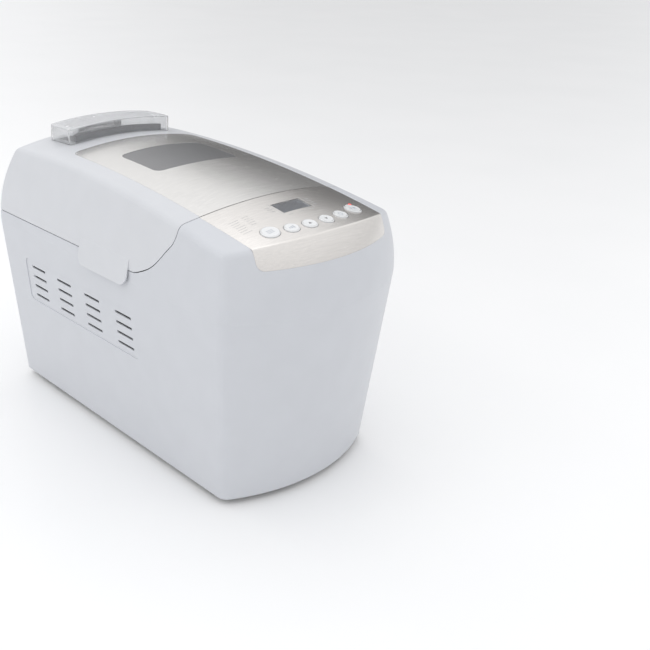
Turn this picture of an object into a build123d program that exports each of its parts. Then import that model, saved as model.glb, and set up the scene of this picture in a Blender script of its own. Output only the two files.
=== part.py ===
from build123d import *
import math
import os

os.makedirs("parts", exist_ok=True)

# ---- overall form (mm, front faces -Y, origin under the middle of the machine) ----
BASE_Z = 7.0            # lower edge of the housing
BELT_Z = 208.0          # joint between housing and bezel
BASE_HALF = 104.5       # half width at the lower edge
BELT_HALF = 121.0       # half width at the belt
TOP_LEAN = 17.0         # inward lean of each side above the belt
TOP_RISE = 90.0         # height over which that lean happens
FRONT_BASE, FRONT_BELT = -204.0, -229.0
REAR_BASE, REAR_BELT = 214.0, 224.0
FRONT_LEAN = 0.00379    # quadratic inward lean of the front above the belt
REAR_LEAN = 0.00325
FRONT_RADIUS = 210.0    # plan radius of the bowed front
REAR_RADIUS = 700.0
FRONT_CORNER = 12.0
REAR_CORNER = 26.0
CROWN_RADIUS = 460.0    # crown of the top across the width
SPINE_RADIUS = 1736.0   # curve of the top from front to rear
CROWN_Y, CROWN_Z = 109.7, 310.1
TOP_ROUND = 9.0
WALL = 2.5
STEEL = 0.8
FIT = 0.1               # gap between pieces fixed to each other
SEAM_GAP = 1.0          # gap between lid and bezel
SEAM_Z = 219.5
SEAM_Y = -123.0
SEAM_BOW = 1000.0       # plan radius of the seam across the top

# ---- oven, pan and drive ----
OVEN_Y = 40.0
OVEN_LONG, OVEN_WIDE = 256.0, 150.0
OVEN_FLOOR = 46.0
OVEN_SHEET = 1.0
PADDLE_PITCH = 116.0
PAN_FLOOR, PAN_RIM = 86.0, 228.0
PAN_LONG, PAN_WIDE = 230.0, 118.0
PAN_WALL = 1.4
SHAFT_D = 8.0
RUN = 0.06              # radial running fit of shafts in their bushes
MOTOR_Y = -142.0
BASE_PLATE_Z = 8.5
BASE_PLATE_T = 2.0
FLOOR_TOP = BASE_PLATE_Z + BASE_PLATE_T


def half_width(z):
    if z <= BELT_Z:
        return BASE_HALF + (BELT_HALF - BASE_HALF) * (z - BASE_Z) / (BELT_Z - BASE_Z)
    return BELT_HALF - TOP_LEAN * ((z - BELT_Z) / TOP_RISE) ** 2


def front_y(z):
    if z <= BELT_Z:
        return FRONT_BASE + (FRONT_BELT - FRONT_BASE) * (z - BASE_Z) / (BELT_Z - BASE_Z)
    return FRONT_BELT + FRONT_LEAN * (z - BELT_Z) ** 2


def rear_y(z):
    if z <= BELT_Z:
        return REAR_BASE + (REAR_BELT - REAR_BASE) * (z - BASE_Z) / (BELT_Z - BASE_Z)
    return REAR_BELT - REAR_LEAN * (z - BELT_Z) ** 2


def sag(radius, reach):
    return radius - math.sqrt(radius * radius - reach * reach)


def plan_outline(z, inset=0.0):
    """Closed outline of the housing at height z, moved inward by inset."""
    half = half_width(z) - inset
    front, rear = front_y(z) + inset, rear_y(z) - inset
    front_c = front + sag(FRONT_RADIUS - inset, half)
    rear_c = rear - sag(REAR_RADIUS - inset, half)
    with BuildSketch(Plane.XY.offset(z)) as outline:
        with BuildLine():
            ThreePointArc((-half, front_c), (0, front), (half, front_c))
            Line((half, front_c), (half, rear_c))
            ThreePointArc((half, rear_c), (0, rear), (-half, rear_c))
            Line((-half, rear_c), (-half, front_c))
        make_face()
        corners = outline.vertices().group_by(Axis.Y)
        fillet(corners[0], FRONT_CORNER - inset)
        fillet(corners[-1], REAR_CORNER - inset)
    return outline.sketch


def shell_form(heights, inset=0.0):
    with BuildPart() as form:
        for z in heights:
            add(plan_outline(z, inset))
        loft(ruled=len(heights) == 2)
    return form.part


def crown_body(inset=0.0):
    """Everything below the doubly curved top surface, moved down by inset."""
    reach = 150
    radius = CROWN_RADIUS - inset
    arch = [(x, CROWN_Z - inset - sag(radius, x)) for x in range(-reach, reach + 1, 25)]
    edge_z = arch[0][1]
    with BuildPart() as body:
        with BuildSketch(Plane.XZ.offset(-CROWN_Y)):
            with BuildLine():
                Spline(*arch)
                Line((reach, edge_z), (reach, 100))
                Line((reach, 100), (-reach, 100))
                Line((-reach, 100), (-reach, edge_z))
            make_face()
        revolve(axis=Axis((0, CROWN_Y, CROWN_Z - SPINE_RADIUS), (1, 0, 0)), revolution_arc=30)
    return body.part.rotate(Axis((0, CROWN_Y, CROWN_Z - SPINE_RADIUS), (1, 0, 0)), -15)


def crown_layer(upper, lower):
    """Layer that follows the top surface between two depths."""
    with BuildPart() as layer:
        add(crown_body(upper))
        add(crown_body(lower), mode=Mode.SUBTRACT)
    return layer.part


def top_z(x, y):
    radius = SPINE_RADIUS - sag(CROWN_RADIUS, x)
    return CROWN_Z - SPINE_RADIUS + math.sqrt(radius * radius - (y - CROWN_Y) ** 2)


def top_plane(x, y, depth=0.0):
    """Plane tangent to the top surface at x, y and sunk by depth."""
    normal = Vector(x / CROWN_RADIUS, (y - CROWN_Y) / SPINE_RADIUS, 1).normalized()
    origin = Vector(x, y, top_z(x, y)) - normal * depth
    return Plane(origin=origin, x_dir=(1, 0, -x / CROWN_RADIUS), z_dir=normal)


def upper_form(inset=0.0, rounding=TOP_ROUND):
    """Solid form above the belt, before it is split into bezel and lid."""
    with BuildPart() as form:
        add(shell_form([BELT_Z, 235, 262, 290, 318], inset))
        add(crown_body(inset), mode=Mode.INTERSECT)
        rim = form.faces().sort_by(Axis.Z)[-1].edges()
        fillet(rim, rounding - inset)
    return form.part


def seam_region(shift, above):
    """Space on one side of the curved seam between lid and bezel."""
    far = 240.0 if above else -260.0
    level = SEAM_Z + shift
    front = SEAM_Y + shift
    with BuildPart() as region:
        with BuildSketch(Plane.YZ):
            with BuildLine():
                Line((240, level), (-60, level))
                Spline(
                    (-60, level),
                    (-73.3 + 0.15 * shift, 223.1 + shift),
                    (-87.3 + 0.4 * shift, 230.1 + 0.9 * shift),
                    (-100.2 + 0.65 * shift, 240.7 + 0.8 * shift),
                    (-113.1 + 0.9 * shift, 256 + 0.5 * shift),
                    (front, 285),
                    tangents=((-1, 0), (0, 1)),
                )
                Line((front, 285), (front, 330))
                if above:
                    Line((front, 330), (far, 330))
                    Line((far, 330), (240, level))
                else:
                    Line((front, 330), (far, 330))
                    Line((far, 330), (far, 190))
                    Line((far, 190), (240, 190))
                    Line((240, 190), (240, level))
            make_face()
        revolve(axis=Axis((0, SEAM_Y + SEAM_BOW, 0), (0, 0, 1)), revolution_arc=30)
    return region.part.rotate(Axis((0, SEAM_Y + SEAM_BOW, 0), (0, 0, 1)), -15)


def block(x0, x1, y0, y1, z0, z1, round_r=0.0):
    """Upright block with optional rounded vertical edges."""
    with BuildPart() as body:
        with BuildSketch(Plane.XY.offset(z0)):
            with Locations(((x0 + x1) / 2, (y0 + y1) / 2)):
                if round_r > 0:
                    RectangleRounded(x1 - x0, y1 - y0, round_r)
                else:
                    Rectangle(x1 - x0, y1 - y0)
        extrude(amount=z1 - z0)
    return body.part


def rod(x, y, z0, z1, diameter):
    with BuildPart() as body:
        with BuildSketch(Plane.XY.offset(z0)):
            with Locations((x, y)):
                Circle(diameter / 2)
        extrude(amount=z1 - z0)
    return body.part


# ---- base plate, feet and lower housing ----
POSTS = [(86, -120), (-86, -120), (86, 176), (-86, 176)]
FEET = [(90, -156), (-90, -156), (90, 146), (-90, 146)]
FOOT_D = 18.0
VENT_COLUMNS = [-29, 29.5, 85.5, 140]
VENT_ROWS = [128, 140, 152, 164]
VENT_LONG, VENT_HIGH = 29.0, 3.0
PANEL_Y, PANEL_Z = 57.0, 146.0
PANEL_LONG, PANEL_HIGH = 220.0, 54.0
PANEL_SINK = 0.8
SIDE_SLOPE = (BELT_HALF - BASE_HALF) / (BELT_Z - BASE_Z)
CORD_X, CORD_Z = 66.0, 34.0
CORD_HOLE = 8.0
BOARD_X = 95.0          # power board stands along the right wall
BOARD_PEGS = [(-172, 132), (-172, 184), (-122, 132), (-122, 184)]
FRAME_LEGS = [(54, -66), (-54, -66), (54, 146), (-54, 146)]



def side_plane(side, depth=0.0):
    """Plane on a side wall of the housing, sunk by depth."""
    normal = Vector(side, 0, -SIDE_SLOPE).normalized()
    origin = Vector(side * half_width(PANEL_Z), PANEL_Y, PANEL_Z) - normal * depth
    return Plane(origin=origin, x_dir=(0, side, 0), z_dir=normal)


with BuildPart() as base_plate:
    add(plan_outline(BASE_PLATE_Z, WALL + 0.5))
    extrude(amount=BASE_PLATE_T)
    for x, y in POSTS + FRAME_LEGS:
        with Locations((x, y, BASE_PLATE_Z)):
            Cylinder(1.85, 8, mode=Mode.SUBTRACT)
    for x, y in FEET:
        with Locations((x, y, BASE_PLATE_Z)):
            Cylinder(3.1, 8, mode=Mode.SUBTRACT)
    with BuildSketch(Plane.XY.offset(BASE_PLATE_Z)):
        with Locations((0, 185), (0, -185)):
            with GridLocations(14, 1, 7, 1):
                SlotOverall(18, 4, rotation=90)
    extrude(amount=BASE_PLATE_T, mode=Mode.SUBTRACT)

with BuildPart() as feet:
    for x, y in FEET:
        with BuildSketch(Plane.XY):
            with Locations((x, y)):
                Circle(FOOT_D / 2 - 1)
        with BuildSketch(Plane.XY.offset(BASE_PLATE_Z - FIT)):
            with Locations((x, y)):
                Circle(FOOT_D / 2)
        loft(ruled=True)
        add(rod(x, y, BASE_PLATE_Z - FIT, FLOOR_TOP + 0.1, 6.0))
        add(rod(x, y, FLOOR_TOP + 0.1, FLOOR_TOP + 1.6, 8.0))

with BuildPart() as base_screws:
    for x, y in POSTS + FRAME_LEGS:
        add(rod(x, y, BASE_PLATE_Z - 1.8, BASE_PLATE_Z - 0.1, 7.0))
        add(rod(x, y, BASE_PLATE_Z - 0.1, 24, 3.5))

with BuildPart() as housing_ribs:
    for x, y in POSTS:
        side = math.copysign(1, x)
        near, far = x - 7 * side, side * 112
        add(block(min(near, far), max(near, far), y - 7, y + 7, FLOOR_TOP + 0.1, 44))
    for y, z in BOARD_PEGS:
        with Locations(Pos(BOARD_X + 11.7, y, z) * Rot(0, 90, 0)):
            Cylinder(3.5, 20)
    add(shell_form([BASE_Z, BELT_Z], 1.0), mode=Mode.INTERSECT)

with BuildPart() as side_cuts:
    for side in (-1, 1):
        with BuildSketch(side_plane(side, PANEL_SINK)):
            RectangleRounded(PANEL_LONG, PANEL_HIGH, 7)
        extrude(amount=10)
        with BuildSketch(side_plane(side, 6)):
            for y in VENT_COLUMNS:
                for z in VENT_ROWS:
                    with Locations(((y - PANEL_Y) * side, z - PANEL_Z)):
                        SlotOverall(VENT_LONG, VENT_HIGH)
        extrude(amount=10)

with BuildPart() as rear_openings:
    with BuildSketch(Plane.XZ.offset(-200)):
        with Locations((CORD_X, CORD_Z)):
            Circle(CORD_HOLE / 2 + 2.6)
        for z in (140, 148, 156, 164, 172):
            with Locations((0, z)):
                SlotOverall(90, 3.2)
    extrude(amount=-30)

with BuildPart() as lower_housing:
    add(shell_form([BASE_Z, BELT_Z]))
    add(shell_form([BASE_Z, BELT_Z], WALL), mode=Mode.SUBTRACT)
    add(housing_ribs.part)
    for x, y in POSTS:
        add(rod(x, y, FLOOR_TOP, 26, 3.7), mode=Mode.SUBTRACT)
    add(side_cuts.part, mode=Mode.SUBTRACT)
    add(rear_openings.part, mode=Mode.SUBTRACT)

CORD_WALL_Y = rear_y(CORD_Z) - sag(REAR_RADIUS, CORD_X)
with BuildPart() as cord_gland:
    with BuildSketch(Plane.XZ.offset(-(CORD_WALL_Y - 6.5))):
        with Locations((CORD_X, CORD_Z)):
            Circle(CORD_HOLE / 2 + 2.5)
    extrude(amount=-9)
    with BuildSketch(Plane.XZ.offset(-(CORD_WALL_Y + 1.2))):
        with Locations((CORD_X, CORD_Z)):
            Circle(CORD_HOLE / 2 + 5)
    extrude(amount=-2.4)
    with BuildSketch(Plane.XZ.offset(-(CORD_WALL_Y - 7))):
        with Locations((CORD_X, CORD_Z)):
            Circle(CORD_HOLE / 2)
    extrude(amount=-14, mode=Mode.SUBTRACT)

# ---- upper bezel with its steel control fascia ----
FASCIA_HALF, FASCIA_LIP = 88.0, 256.0
CRISP = 2.5             # rounding of the fascia over the front edge
BUTTONS = [
    (-56.4, -182.4, 19.0),
    (-34.4, -188.1, 15.5),
    (-13.1, -190.6, 15.5),
    (9.5, -190.6, 15.5),
    (32.5, -187.7, 15.5),
    (59.5, -179.6, 18.5),
]
BUTTON_PROUD = 1.0
LCD_Y, LCD_LONG, LCD_HIGH = -152.0, 38.0, 20.0
LED_X, LED_Y, LED_HOLE = 67.2, -168.8, 3.6
LED_SIDES = 16
BOARD_PLANE = top_plane(0, -163, 18)
BOARD_LONG, BOARD_HIGH, BOARD_T = 150.0, 60.0, 1.6
BOARD_POSTS = [(u, v) for u in (-70, 70) for v in (-25, 25)]
HINGE_Y, HINGE_Z, HINGE_R = 223.6, 215.0, 5.4
HINGE_X = [-60, 60]
HINGE_PIN_D = 3.0
KNUCKLE = 8.0           # half length of the lid knuckle
MOUTH_R = 30.0
DECK_UNDER = SEAM_Z - WALL


def fascia_zone(grow=0.0):
    with BuildPart() as zone:
        with BuildSketch(Plane.XZ.offset(110)):
            with Locations((0, (FASCIA_LIP + 340) / 2)):
                RectangleRounded(2 * (FASCIA_HALF + grow), 340 - FASCIA_LIP + 2 * grow, 7)
        extrude(amount=130)
    return zone.part


with BuildPart() as panel_openings:
    for x, y, size in BUTTONS:
        with BuildSketch(top_plane(x, y, 12)):
            Circle(size / 2 + 0.5)
        extrude(amount=16)
    with BuildSketch(top_plane(0, LCD_Y, 8)):
        Rectangle(LCD_LONG, LCD_HIGH)
    extrude(amount=12)
    with BuildSketch(top_plane(LED_X, LED_Y, 8)):
        RegularPolygon(LED_HOLE / 2, LED_SIDES)
    extrude(amount=12)

with BuildPart() as control_fascia:
    add(upper_form(0, CRISP))
    add(upper_form(STEEL, CRISP), mode=Mode.SUBTRACT)
    add(fascia_zone(), mode=Mode.INTERSECT)
    add(seam_region(0, False), mode=Mode.INTERSECT)
    add(panel_openings.part, mode=Mode.SUBTRACT)

with BuildPart() as steel_space:
    add(upper_form(-0.5, CRISP))
    add(upper_form(STEEL + FIT, CRISP), mode=Mode.SUBTRACT)
    add(fascia_zone(FIT), mode=Mode.INTERSECT)

with BuildPart() as bezel_hollow:
    add(upper_form(WALL))
    add(seam_region(-WALL, False), mode=Mode.INTERSECT)

with BuildPart() as bezel_tongue:
    add(plan_outline(BELT_Z - 5, WALL + 0.6))
    extrude(amount=5)
    add(plan_outline(BELT_Z, 1.0))
    extrude(amount=1.6)
    add(block(-130, 130, -240, 240, 200, 212), mode=Mode.INTERSECT)
    add(plan_outline(BELT_Z - 5, WALL + 2.6))
    extrude(amount=8, mode=Mode.SUBTRACT)

with BuildPart() as mouth_collar:
    add(block(-77.5, 77.5, OVEN_Y - 130.5, OVEN_Y + 130.5, DECK_UNDER, 245, MOUTH_R + 2.5))
    add(seam_region(0, False), mode=Mode.INTERSECT)

with BuildPart() as upper_bezel:
    add(upper_form())
    add(steel_space.part, mode=Mode.SUBTRACT)
    add(seam_region(0, False), mode=Mode.INTERSECT)
    add(bezel_hollow.part, mode=Mode.SUBTRACT)
    for opening in panel_openings.solids():
        add(opening, mode=Mode.SUBTRACT)
    add(mouth_collar.part)
    add(block(-75, 75, OVEN_Y - 128, OVEN_Y + 128, 212, 245, MOUTH_R), mode=Mode.SUBTRACT)
    add(bezel_tongue.part)
    for x in HINGE_X:
        add(block(x - 16.5, x + 16.5, 212, 219.4, BELT_Z, SEAM_Z - 1))
        for side in (-1, 1):
            with Locations(Pos(x + side * 12.4, HINGE_Y, HINGE_Z) * Rot(0, 90, 0)):
                Cylinder(HINGE_R, 8)
            mid = x + side * 12.4
            add(block(mid - 4, mid + 4, 217, HINGE_Y, HINGE_Z - HINGE_R, HINGE_Z + 2))
        notch = KNUCKLE + 0.4
        add(block(x - notch, x + notch, 215.6, 235, HINGE_Z - 6.2, 224), mode=Mode.SUBTRACT)
        with Locations(Pos(x, HINGE_Y, HINGE_Z) * Rot(0, 90, 0)):
            Cylinder(HINGE_PIN_D / 2 + 0.01, 40, mode=Mode.SUBTRACT)

with BuildPart() as hinge_pins:
    for x in HINGE_X:
        with Locations(Pos(x, HINGE_Y, HINGE_Z) * Rot(0, 90, 0)):
            Cylinder(HINGE_PIN_D / 2, 32.6)

# ---- lid: shell, steel panel, window, liner, gasket and vent cover ----
LID_SKIN = 3.0
WINDOW_Y, WINDOW_LONG, WINDOW_HIGH = 22.5, 112.0, 73.0
PANEL_REAR, PANEL_REAR_HALF, PANEL_FRONT_HALF = 107.6, 83.0, 87.2
WELL_Y, WELL_HALF, WELL_DEEP = 155.0, 60.0, 13.0
COVER_FRONT, COVER_REAR, COVER_HALF = 131.0, 176.0, 70.0
COVER_HIGH = 18.0
COVER_HINGE_Y, COVER_HINGE_Z = 180.6, 312.0
LINER_T = 1.6
DOME_DEEP = 14.0
LINER_SHIFT = 1.6


def window_outline(grow, z):
    """Window outline with bowed front and rear edges, at height z."""
    half_x, half_y, bow = WINDOW_LONG / 2 + grow, WINDOW_HIGH / 2 + grow, 2.5
    front, rear = WINDOW_Y - half_y, WINDOW_Y + half_y
    with BuildSketch(Plane.XY.offset(z)) as outline:
        with BuildLine():
            ThreePointArc((-half_x, front + bow), (0, front), (half_x, front + bow))
            Line((half_x, front + bow), (half_x, rear - bow))
            ThreePointArc((half_x, rear - bow), (0, rear), (-half_x, rear - bow))
            Line((-half_x, rear - bow), (-half_x, front + bow))
        make_face()
        fillet(outline.vertices(), 9)
    return outline.sketch


def window_prism(grow, low, high):
    with BuildPart() as prism:
        add(window_outline(grow, low))
        extrude(amount=high - low)
    return prism.part


def panel_prism(grow):
    with BuildPart() as prism:
        with BuildSketch(Plane.XY.offset(262)) as outline:
            rear, front = PANEL_REAR + grow, SEAM_Y - 12
            with BuildLine():
                Polyline(
                    (-PANEL_FRONT_HALF - grow, front),
                    (PANEL_FRONT_HALF + grow, front),
                    (PANEL_REAR_HALF + grow, rear),
                    (-PANEL_REAR_HALF - grow, rear),
                    close=True,
                )
            make_face()
            fillet(outline.vertices().group_by(Axis.Y)[-1], 9)
        extrude(amount=70)
    return prism.part


with BuildPart() as grip_form:
    with BuildSketch(Plane.XZ.offset(48)):
        for side in (-1, 1):
            with BuildLine():
                Polyline(
                    (side * 119.2, 233),
                    (side * 120.1, 231),
                    (side * 122.2, 222),
                    (side * 124.6, 211),
                    (side * 126.4, 203.5),
                    (side * 124.6, 203.2),
                    (side * 122.6, 212),
                    (side * 121.7, 220.4),
                    (side * 119.0, 220.6),
                    close=True,
                )
            make_face()
    extrude(amount=-88)

with BuildPart() as grip_trim:
    with BuildSketch(Plane.YZ.offset(-140)):
        with Locations((-4, 226)):
            RectangleRounded(88, 46, 12)
    extrude(amount=280)

with BuildPart() as lid_grips:
    add(grip_form.part)
    add(grip_trim.part, mode=Mode.INTERSECT)

with BuildPart() as vent_well:
    add(block(-WELL_HALF - 2, WELL_HALF + 2, WELL_Y - 18, WELL_Y + 18, CROWN_Z - WELL_DEEP, 320, 6))
    add(crown_body(1.0), mode=Mode.INTERSECT)

with BuildPart() as vent_hollow:
    add(block(-WELL_HALF, WELL_HALF, WELL_Y - 16, WELL_Y + 16, CROWN_Z - WELL_DEEP + 1.6, 330, 4))
    with BuildSketch(Plane.XY.offset(280)):
        with Locations((0, WELL_Y)):
            with GridLocations(9, 1, 11, 1):
                SlotOverall(24, 3.4, rotation=90)
    extrude(amount=25)

with BuildPart() as lid_knuckles:
    for x in HINGE_X:
        with Locations(Pos(x, HINGE_Y, HINGE_Z) * Rot(0, 90, 0)):
            Cylinder(HINGE_R, 2 * KNUCKLE)
        add(block(x - KNUCKLE, x + KNUCKLE, 218.7, 226, HINGE_Z, 226))

with BuildPart() as cover_ears:
    for x in (-25.3, 25.3):
        with Locations(Pos(x, COVER_HINGE_Y, COVER_HINGE_Z) * Rot(0, 90, 0)):
            Cylinder(3.2, 9)
        add(block(x - 4.5, x + 4.5, COVER_HINGE_Y - 2.2, COVER_HINGE_Y + 2.2, 300, COVER_HINGE_Z))

with BuildPart() as plate_space:
    add(crown_layer(-0.5, STEEL + FIT))
    add(panel_prism(FIT), mode=Mode.INTERSECT)

with BuildPart() as lid_shell:
    add(upper_form())
    add(upper_form(LID_SKIN), mode=Mode.SUBTRACT)
    add(seam_region(SEAM_GAP, True), mode=Mode.INTERSECT)
    add(plate_space.part, mode=Mode.SUBTRACT)
    add(window_prism(0, 280, 330), mode=Mode.SUBTRACT)
    add(vent_well.part)
    add(vent_hollow.part, mode=Mode.SUBTRACT)
    add(lid_grips.part)
    add(lid_knuckles.part)
    add(cover_ears.part)
    for x in HINGE_X:
        with Locations(Pos(x, HINGE_Y, HINGE_Z) * Rot(0, 90, 0)):
            Cylinder(HINGE_PIN_D / 2 + RUN, 40, mode=Mode.SUBTRACT)
    with Locations(Pos(0, COVER_HINGE_Y, COVER_HINGE_Z) * Rot(0, 90, 0)):
        Cylinder(1.26, 80, mode=Mode.SUBTRACT)

with BuildPart() as lid_panel:
    add(crown_layer(0, STEEL))
    add(panel_prism(0), mode=Mode.INTERSECT)
    add(seam_region(SEAM_GAP, True), mode=Mode.INTERSECT)
    add(window_prism(0, 280, 330), mode=Mode.SUBTRACT)

with BuildPart() as glass_flange:
    add(crown_layer(LID_SKIN + FIT, 4.6))
    add(window_prism(5, 280, 330), mode=Mode.INTERSECT)

with BuildPart() as window_glass:
    add(crown_layer(0.3, 4.6))
    add(window_prism(-FIT, 280, 330), mode=Mode.INTERSECT)
    add(glass_flange.part)

DOME = (-73, 73, OVEN_Y - 127, OVEN_Y + 127)
DOME_R = 26.0
LINER_EDGE = LID_SKIN + 0.5
with BuildPart() as dome_outside:
    add(block(*DOME, 215, 320, DOME_R))
    add(crown_body(DOME_DEEP), mode=Mode.INTERSECT)

with BuildPart() as dome_inside:
    left, right, near, far = (side + LINER_T * inward for side, inward in zip(DOME, (1, -1, 1, -1)))
    add(block(left, right, near, far, 200, 320, DOME_R - LINER_T))
    add(crown_body(DOME_DEEP + LINER_T), mode=Mode.INTERSECT)

with BuildPart() as lid_liner:
    add(upper_form(LINER_EDGE))
    add(seam_region(LINER_SHIFT + LINER_T, True), mode=Mode.SUBTRACT)
    add(dome_outside.part)
    add(seam_region(LINER_SHIFT, True), mode=Mode.INTERSECT)
    add(dome_inside.part, mode=Mode.SUBTRACT)
    add(window_prism(-9, 270, 330), mode=Mode.SUBTRACT)
    with BuildSketch(Plane.XY.offset(270)):
        with Locations((0, WELL_Y - 8)):
            Rectangle(2 * (WELL_HALF - 12), 13)
    extrude(amount=40, mode=Mode.SUBTRACT)

with BuildPart() as inner_window:
    add(crown_layer(DOME_DEEP - 2.6, DOME_DEEP - FIT))
    add(window_prism(-2, 270, 330), mode=Mode.INTERSECT)

with BuildPart() as lid_gasket:
    add(block(-83, 83, OVEN_Y - 134, OVEN_Y + 134, 210, 260, 36))
    add(block(-78, 78, OVEN_Y - 129, OVEN_Y + 129, 205, 265, 31), mode=Mode.SUBTRACT)
    add(seam_region(0.3, True), mode=Mode.INTERSECT)
    add(seam_region(LINER_SHIFT - 0.1, False), mode=Mode.INTERSECT)

COVER_WALL = 2.0
with BuildPart() as cover_inside:
    add(
        block(
            -COVER_HALF + COVER_WALL,
            COVER_HALF - COVER_WALL,
            COVER_FRONT + COVER_WALL,
            COVER_REAR - COVER_WALL,
            280,
            345,
            3,
        )
    )
    add(crown_body(COVER_WALL - COVER_HIGH), mode=Mode.INTERSECT)

with BuildPart() as vent_cover:
    add(block(-COVER_HALF, COVER_HALF, COVER_FRONT, COVER_REAR, 290, 345, 5))
    add(crown_body(-COVER_HIGH), mode=Mode.INTERSECT)
    fillet(vent_cover.faces().sort_by(Axis.Z)[-1].edges(), 1.8)
    with Locations(Pos(0, COVER_HINGE_Y, COVER_HINGE_Z) * Rot(0, 90, 0)):
        Cylinder(3.2, 40.8)
    add(block(-20.4, 20.4, COVER_REAR - 1.5, COVER_HINGE_Y, COVER_HINGE_Z - 2, COVER_HINGE_Z + 3))
    add(cover_inside.part, mode=Mode.SUBTRACT)
    add(crown_body(-0.3), mode=Mode.SUBTRACT)
    with Locations(Pos(0, COVER_HINGE_Y, COVER_HINGE_Z) * Rot(0, 90, 0)):
        Cylinder(1.25 + RUN, 80, mode=Mode.SUBTRACT)

with BuildPart() as cover_pin:
    with Locations(Pos(0, COVER_HINGE_Y, COVER_HINGE_Z) * Rot(0, 90, 0)):
        Cylinder(1.25, 59)

# ---- oven cavity, heater, sensor and heat shield ----
HEATER_Z, HEATER_D = 71.0, 6.6
SHAFTS_Y = [OVEN_Y - PADDLE_PITCH / 2, OVEN_Y + PADDLE_PITCH / 2]
FLANGE_Z = DECK_UNDER - 0.1
HALF_LONG, HALF_WIDE = OVEN_LONG / 2, OVEN_WIDE / 2
SHIELD_Y = -101.0
PROBE_X, PROBE_Z = 40.0, 150.0
SEAT_Z = 54.0

with BuildPart() as oven_cavity:
    near, far = OVEN_Y - HALF_LONG, OVEN_Y + HALF_LONG
    add(block(-HALF_WIDE, HALF_WIDE, near, far, OVEN_FLOOR, FLANGE_Z, MOUTH_R))
    add(block(-HALF_WIDE - 8, HALF_WIDE + 8, near - 8, far + 8, FLANGE_Z - OVEN_SHEET, FLANGE_Z, MOUTH_R + 8))
    add(
        block(
            -HALF_WIDE + OVEN_SHEET,
            HALF_WIDE - OVEN_SHEET,
            near + OVEN_SHEET,
            far - OVEN_SHEET,
            OVEN_FLOOR + OVEN_SHEET,
            FLANGE_Z + 5,
            MOUTH_R - OVEN_SHEET,
        ),
        mode=Mode.SUBTRACT,
    )
    for y in SHAFTS_Y:
        add(rod(0, y, 40, 52, 15), mode=Mode.SUBTRACT)
    with BuildSketch(Plane.XZ.offset(-near - 10)):
        with Locations((-18, HEATER_Z), (18, HEATER_Z)):
            Circle(HEATER_D / 2 + 0.6)
        with Locations((PROBE_X, PROBE_Z)):
            Circle(3.2)
    extrude(amount=20, mode=Mode.SUBTRACT)

with BuildPart() as heating_element:
    front, back = OVEN_Y - 112, OVEN_Y + 112
    with BuildLine():
        FilletPolyline(
            (-18, SHIELD_Y - 12, HEATER_Z),
            (-18, front, HEATER_Z),
            (-60, front, HEATER_Z),
            (-60, back, HEATER_Z),
            (60, back, HEATER_Z),
            (60, front, HEATER_Z),
            (18, front, HEATER_Z),
            (18, SHIELD_Y - 12, HEATER_Z),
            radius=12,
        )
    with BuildSketch(Plane(origin=(-18, SHIELD_Y - 12, HEATER_Z), z_dir=(0, 1, 0))):
        Circle(HEATER_D / 2)
    sweep()

with BuildPart() as heater_clips:
    for side in (-1, 1):
        inner, outer = side * 55, side * (HALF_WIDE - OVEN_SHEET - 0.1)
        add(block(min(inner, outer), max(inner, outer), OVEN_Y - 6, OVEN_Y + 6, HEATER_Z - 5, HEATER_Z + 5))
        with Locations(Pos(side * 60, OVEN_Y, HEATER_Z) * Rot(90, 0, 0)):
            Cylinder(HEATER_D / 2 + 0.05, 40, mode=Mode.SUBTRACT)

with BuildPart() as temperature_probe:
    with Locations(Pos(PROBE_X, OVEN_Y - HALF_LONG + 1.5, PROBE_Z) * Rot(90, 0, 0)):
        Cylinder(3.1, 16)
    with Locations(Pos(PROBE_X, OVEN_Y - HALF_LONG - 2.6, PROBE_Z) * Rot(90, 0, 0)):
        Cylinder(6, 5)

with BuildPart() as heat_shield:
    add(block(-98, 98, SHIELD_Y - 1.2, SHIELD_Y, FLOOR_TOP + 0.1, 204))
    add(block(-98, 98, SHIELD_Y - 10, SHIELD_Y, FLOOR_TOP + 0.1, FLOOR_TOP + 1.3))
    add(block(-52, 52, SHIELD_Y - 20, SHIELD_Y + 5, FLOOR_TOP, 33), mode=Mode.SUBTRACT)
    for x in (-18, 18):
        with Locations(Pos(x, SHIELD_Y, HEATER_Z) * Rot(90, 0, 0)):
            Cylinder(HEATER_D / 2 + 0.6, 20, mode=Mode.SUBTRACT)

# ---- drive train under the oven ----
PULLEY_Z, PULLEY_D = 13.5, 90.0
MOTOR_PULLEY_D = 18.0
BELT_HIGH, BELT_THICK = 6.0, 1.8
SYNC_Z, SYNC_D = 23.2, 28.0
FRAME_Z, FRAME_T = 33.0, 3.0
BUSH_D = 14.0
MOTOR_D, MOTOR_Z, MOTOR_TOP = 60.0, 38.0, 118.0
DOG_Z, DOG_HIGH = 53.0, 7.5


def pulley(y, z, diameter, height, bore):
    with BuildPart() as wheel:
        with BuildSketch(Plane.XY.offset(z)):
            with Locations((0, y)):
                Circle(diameter / 2)
        extrude(amount=height)
        for level in (z - 1, z + height):
            with BuildSketch(Plane.XY.offset(level)):
                with Locations((0, y)):
                    Circle(diameter / 2 + 2.2)
            extrude(amount=1)
        if diameter > 50:
            with BuildSketch(Plane.XY.offset(z - 1)):
                with Locations((0, y)):
                    with PolarLocations(diameter * 0.29, 6):
                        Circle(diameter * 0.1)
            extrude(amount=height + 2, mode=Mode.SUBTRACT)
        with BuildSketch(Plane.XY.offset(z - 1)):
            with Locations((0, y)):
                Circle(bore / 2)
        extrude(amount=height + 2, mode=Mode.SUBTRACT)
    return wheel.part


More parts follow.
